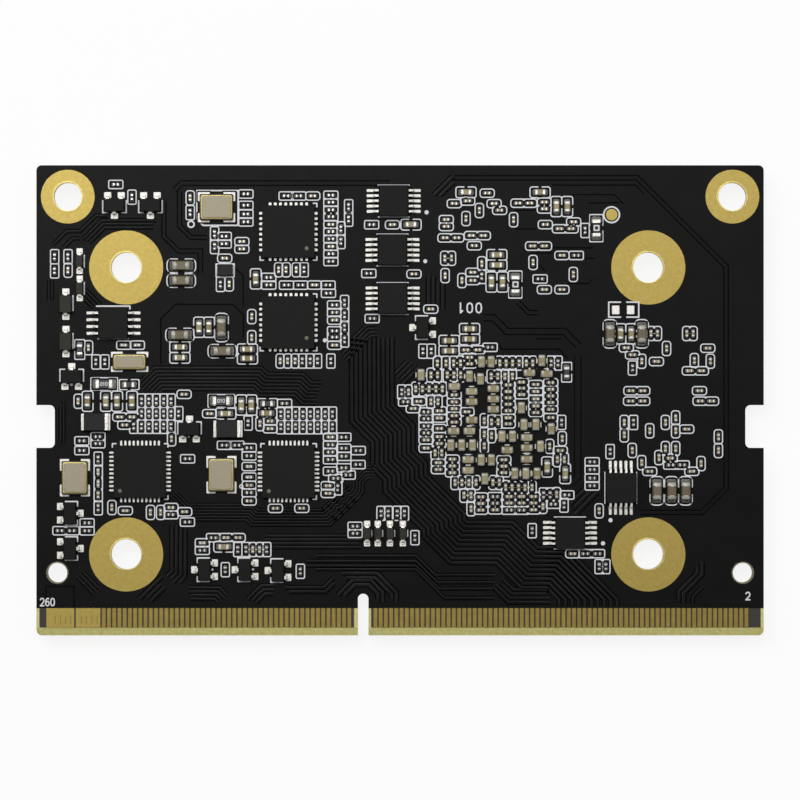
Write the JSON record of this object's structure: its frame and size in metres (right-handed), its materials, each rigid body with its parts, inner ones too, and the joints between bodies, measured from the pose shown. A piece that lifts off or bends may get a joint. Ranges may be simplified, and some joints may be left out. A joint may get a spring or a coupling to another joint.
{
  "type": "system on module",
  "caption": "Flat black computer module with a gold card edge, plated screw holes and a dense field of surface-mounted parts on both faces.",
  "frame": {"origin": "centre of the board outline, at the level the module rests on", "axes": "+X along the contact edge, +Y away from it, +Z out of the face with the small parts"},
  "size_m": [0.0696, 0.045, 0.0043],
  "materials": {
    "laminate": "matt",
    "mask": "satin",
    "gold": "satin",
    "tin": "bright",
    "lid": "satin",
    "pale_ceramic": "matt",
    "grey_ceramic": "matt",
    "tan_ceramic": "matt",
    "black_ceramic": "satin",
    "ferrite": "matt",
    "nickel": "satin",
    "substrate": "satin",
    "mould": "matt"
  },
  "bodies": {
    "root": {"board_laminate": "laminate", "solder_mask_top": "mask", "solder_mask_underside": "mask", "edge_contacts_top": "gold", "edge_contacts_underside": "gold", "heatsink_hole_plating": "gold", "corner_hole_plating": "gold", "alignment_target": "gold", "power_manager_1": "mould", "power_manager_2": "mould", "power_manager_terminals": "tin", "transceiver_1": "mould", "transceiver_2": "mould", "transceiver_terminals": "tin", "supervisor_body": "mould", "supervisor_leads": "tin", "regulator_bodies": "mould", "regulator_leads": "tin", "transistor_bodies": "mould", "transistor_leads": "tin", "diode_bodies": "mould", "diode_leads": "tin", "crystal_bases": "pale_ceramic", "crystal_lids": "lid", "clock_crystal_base": "pale_ceramic", "clock_crystal_lid": "lid", "choke_cores": "ferrite", "choke_terminals": "tin", "filter_body": "mould", "bead_bodies": "black_ceramic", "bead_ends": "tin", "small_capacitors": "tan_ceramic", "small_capacitor_ends": "tin", "load_capacitors": "grey_ceramic", "small_resistors": "black_ceramic", "small_resistor_ends": "tin", "medium_capacitors": "tan_ceramic", "medium_capacitor_ends": "tin", "medium_resistors": "black_ceramic", "medium_resistor_ends": "tin", "block_capacitors": "tan_ceramic", "block_capacitor_ends": "tin", "large_capacitors": "tan_ceramic", "large_capacitor_ends": "tin", "large_resistors": "black_ceramic", "large_resistor_ends": "tin", "chip_solder_joints": "tin", "lead_solder": "tin", "processor_substrate": "substrate", "processor_lid": "nickel", "processor_balls": "tin", "memory_packages": "mould", "flash_package": "mould", "package_balls": "tin", "power_controller": "mould", "power_controller_terminals": "tin", "power_chokes": "ferrite", "underside_capacitors": "tan_ceramic", "underside_capacitor_ends": "tin", "underside_solder": "tin"}
  },
  "joints": []
}
